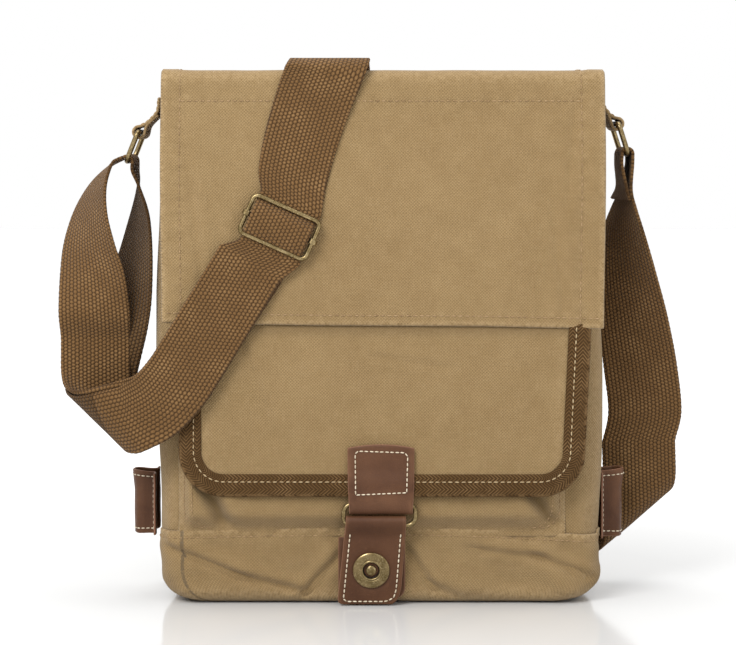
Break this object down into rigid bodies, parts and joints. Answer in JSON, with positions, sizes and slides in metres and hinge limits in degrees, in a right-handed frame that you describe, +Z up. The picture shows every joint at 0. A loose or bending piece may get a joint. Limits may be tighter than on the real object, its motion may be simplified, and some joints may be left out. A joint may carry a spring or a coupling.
{
  "type": "messenger bag",
  "caption": "Small upright canvas messenger bag with a bound fold-over flap, leather snap closure and webbing shoulder strap.",
  "frame": {"origin": "centre of the flat bottom", "axes": "+X to the right seen from the front, +Y to the back, +Z up"},
  "size_m": [0.3787, 0.1085, 0.3244],
  "materials": {
    "canvas": "matte washed canvas",
    "lining": "matte",
    "board": "matte",
    "twill": "matte twill tape",
    "leather": "satin",
    "brass": "antique brushed",
    "webbing": "matte coarse weave"
  },
  "bodies": {
    "bag": {"front_panel": "canvas", "back_panel": "canvas", "gusset_left": "canvas", "gusset_right": "canvas", "base_panel": "canvas", "base_board": "board", "lining": "lining", "base_band": "canvas", "flap_anchor": "canvas", "pocket_panel": "canvas", "pocket_gusset_left": "canvas", "pocket_gusset_right": "canvas", "pocket_floor": "canvas", "pocket_hem": "canvas", "snap_tab": "leather", "snap_stud": "brass", "side_loop_left": "leather", "side_loop_right": "leather", "ring_tab_left": "canvas", "ring_tab_right": "canvas", "strap_outer_neck": "webbing", "strap_inner_neck": "webbing", "strap_right_neck": "webbing", "strap_sewn_end": "webbing"},
    "flap": {"flap_yoke": "canvas", "flap_lining": "lining", "flap_lower_panel": "canvas", "flap_binding": "twill", "closure_loop": "leather"},
    "closure_ring": {"closure_ring": "brass"},
    "closure_strap": {"closure_strap": "leather", "snap_socket": "brass"},
    "strap_front": {"strap_over_top": "webbing", "strap_front_run": "webbing", "strap_front_turn": "webbing", "strap_under_layer": "webbing", "strap_under_turn": "webbing", "strap_outer_loop": "webbing", "strap_inner_loop": "webbing", "slider_frame": "brass"},
    "slider_bar": {"slider_bar": "brass", "strap_end_fold": "webbing"},
    "strap_back": {"strap_right_run": "webbing", "strap_right_turn": "webbing", "strap_back_run": "webbing"},
    "d_ring_left": {"d_ring_left": "brass", "strap_fold_left": "webbing"},
    "d_ring_right": {"d_ring_right": "brass", "strap_fold_right": "webbing"}
  },
  "joints": [
    {"name": "flap_hinge", "type": "hinge", "parent": "bag", "child": "flap", "pos_m": [0, 0.0295, 0.3206], "axis": [-1, 0, 0], "range_deg": [0, 120]},
    {"name": "ring_swing", "type": "hinge", "parent": "flap", "child": "closure_ring", "pos_m": [-0.0003, -0.05192, 0.06202], "axis": [-1, 0, 0], "range_deg": [0, 60]},
    {"name": "snap_strap_swing", "type": "hinge", "parent": "closure_ring", "child": "closure_strap", "pos_m": [-0.0003, -0.05192, 0.04942], "axis": [-1, 0, 0], "range_deg": [0, 100]},
    {"name": "strap_front_lift", "type": "hinge", "parent": "bag", "child": "strap_front", "pos_m": [0, 0.0295, 0.3206], "axis": [-1, 0, 0], "range_deg": [0, 120]},
    {"name": "slider_bar_slide", "type": "slide", "parent": "strap_front", "child": "slider_bar", "axis": [0.4067, 0.0602, 0.9116], "range_m": [-0.002, 0.002]},
    {"name": "strap_back_swing", "type": "hinge", "parent": "bag", "child": "strap_back", "pos_m": [0, 0.0295, 0.3206], "axis": [1, 0, 0], "range_deg": [0, 50]},
    {"name": "d_ring_left_swing", "type": "hinge", "parent": "bag", "child": "d_ring_left", "pos_m": [-0.1465, 0, 0.285], "axis": [0, 1, 0], "range_deg": [-20, 40]},
    {"name": "d_ring_right_swing", "type": "hinge", "parent": "bag", "child": "d_ring_right", "pos_m": [0.1445, 0, 0.29], "axis": [0, -1, 0], "range_deg": [-16, 40]}
  ],
  "couplings": [
    {"joint": "strap_front_lift", "follows": "flap_hinge", "ratio": 1}
  ]
}
